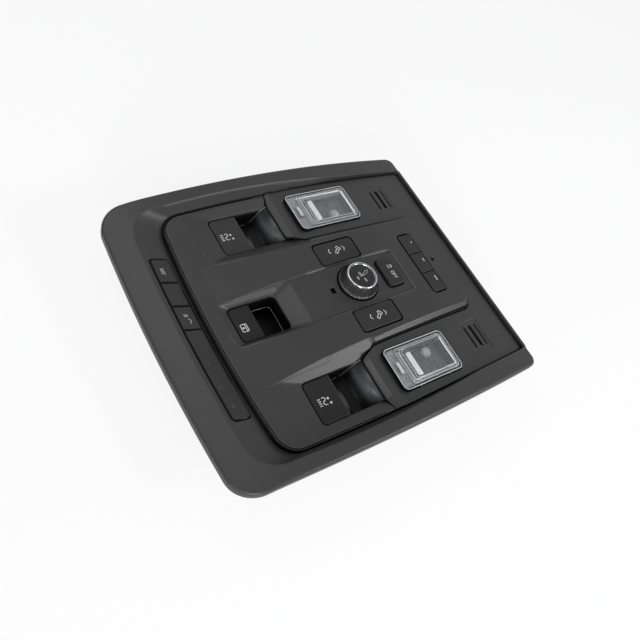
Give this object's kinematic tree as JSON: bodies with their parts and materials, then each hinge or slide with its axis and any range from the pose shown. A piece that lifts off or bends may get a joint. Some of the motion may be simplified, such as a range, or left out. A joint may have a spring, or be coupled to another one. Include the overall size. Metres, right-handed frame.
{
  "type": "overhead console",
  "caption": "Car roof console with a sloped control strip, rocker switches over finger wells, reading lamps, push buttons and a ribbed knob with a bright ring.",
  "frame": {"origin": "middle of the flat back that faces the roof", "axes": "+X to the rear of the car, +Y to its left side, +Z out of the face that the passengers see"},
  "size_m": [0.2707, 0.2278, 0.0509],
  "materials": {
    "charcoal": "fine grained",
    "black": "satin",
    "smoked": "satin",
    "clear": "clear",
    "grey": "satin",
    "white": "diffusing",
    "circuit": "satin",
    "steel": "satin",
    "contact": "satin",
    "rubber": "matt",
    "alloy": "satin",
    "chrome": "satin"
  },
  "bodies": {
    "console": {"board_screws": "steel", "board_switches": "black", "centre_panel": "charcoal", "centre_switch_module": "black", "connector_pins": "contact", "connector_socket": "black", "housing_screws": "steel", "indicator_window": "smoked", "lamp_board_left": "circuit", "lamp_board_right": "circuit", "lamp_housing_left": "black", "lamp_housing_right": "black", "lamp_panel": "charcoal", "led_dome_left": "clear", "led_dome_right": "clear", "lens_left": "clear", "lens_right": "clear", "light_bar_left": "white", "light_bar_right": "white", "light_sensor": "smoked", "main_board": "circuit", "microphone_boot_left": "rubber", "microphone_boot_right": "rubber", "microphone_left": "alloy", "microphone_right": "alloy", "outer_bezel": "charcoal", "rear_housing": "black", "reflector_left": "grey", "reflector_right": "grey", "roof_clips": "steel", "rotary_switch": "black", "side_switch_module_left": "black", "side_switch_module_right": "black", "strip_board": "circuit", "strip_switches": "black"},
    "knob": {"knob_skirt": "black", "knob_ring": "chrome", "knob_cap": "black", "knob_shaft": "steel"},
    "centre_paddle_body": {"centre_paddle": "charcoal"},
    "door_button_body": {"door_button": "charcoal"},
    "home_button_1_body": {"home_button_1": "charcoal"},
    "home_button_2_body": {"home_button_2": "charcoal"},
    "home_button_3_body": {"home_button_3": "charcoal"},
    "lamp_button_left_body": {"lamp_button_left": "charcoal"},
    "lamp_button_right_body": {"lamp_button_right": "charcoal"},
    "side_paddle_left_body": {"side_paddle_left": "charcoal"},
    "side_paddle_right_body": {"side_paddle_right": "charcoal"},
    "strip_button_1_body": {"strip_button_1": "charcoal"},
    "strip_button_2_body": {"strip_button_2": "charcoal"},
    "strip_button_3_body": {"strip_button_3": "charcoal"}
  },
  "joints": [
    {"name": "knob_turn", "type": "hinge", "parent": "console", "child": "knob", "pos_m": [0.02505, 0, 0.038], "axis": [0, 0, 1], "range_deg": [-60, 60]},
    {"name": "side_paddle_left_rock", "type": "hinge", "parent": "console", "child": "side_paddle_left_body", "pos_m": [-0.04641, 0, 0.0274], "axis": [0, 1, 0], "range_deg": [-5, 5], "stiffness_Nm_per_rad": 0.4},
    {"name": "side_paddle_right_rock", "type": "hinge", "parent": "console", "child": "side_paddle_right_body", "pos_m": [-0.04641, 0, 0.0274], "axis": [0, 1, 0], "range_deg": [-5, 5], "stiffness_Nm_per_rad": 0.4},
    {"name": "centre_paddle_rock", "type": "hinge", "parent": "console", "child": "centre_paddle_body", "pos_m": [-0.06979, 0, 0.0274], "axis": [0, 1, 0], "range_deg": [-5, 5], "stiffness_Nm_per_rad": 0.4},
    {"name": "lamp_button_left_press", "type": "slide", "parent": "console", "child": "lamp_button_left_body", "axis": [0, 0, -1], "range_m": [0, 0.0012], "stiffness_N_per_m": 1500},
    {"name": "lamp_button_right_press", "type": "slide", "parent": "console", "child": "lamp_button_right_body", "axis": [0, 0, -1], "range_m": [0, 0.0012], "stiffness_N_per_m": 1500},
    {"name": "door_button_press", "type": "slide", "parent": "console", "child": "door_button_body", "axis": [0, 0, -1], "range_m": [0, 0.0012], "stiffness_N_per_m": 1500},
    {"name": "home_button_1_press", "type": "slide", "parent": "console", "child": "home_button_1_body", "axis": [0, 0, -1], "range_m": [0, 0.0012], "stiffness_N_per_m": 1500},
    {"name": "home_button_2_press", "type": "slide", "parent": "console", "child": "home_button_2_body", "axis": [0, 0, -1], "range_m": [0, 0.0012], "stiffness_N_per_m": 1500},
    {"name": "home_button_3_press", "type": "slide", "parent": "console", "child": "home_button_3_body", "axis": [0, 0, -1], "range_m": [0, 0.0012], "stiffness_N_per_m": 1500},
    {"name": "strip_button_1_press", "type": "slide", "parent": "console", "child": "strip_button_1_body", "axis": [-0.3843, 0, -0.9232], "range_m": [0, 0.001], "stiffness_N_per_m": 1500},
    {"name": "strip_button_2_press", "type": "slide", "parent": "console", "child": "strip_button_2_body", "axis": [-0.3843, 0, -0.9232], "range_m": [0, 0.001], "stiffness_N_per_m": 1500},
    {"name": "strip_button_3_press", "type": "slide", "parent": "console", "child": "strip_button_3_body", "axis": [-0.3843, 0, -0.9232], "range_m": [0, 0.001], "stiffness_N_per_m": 1500}
  ]
}
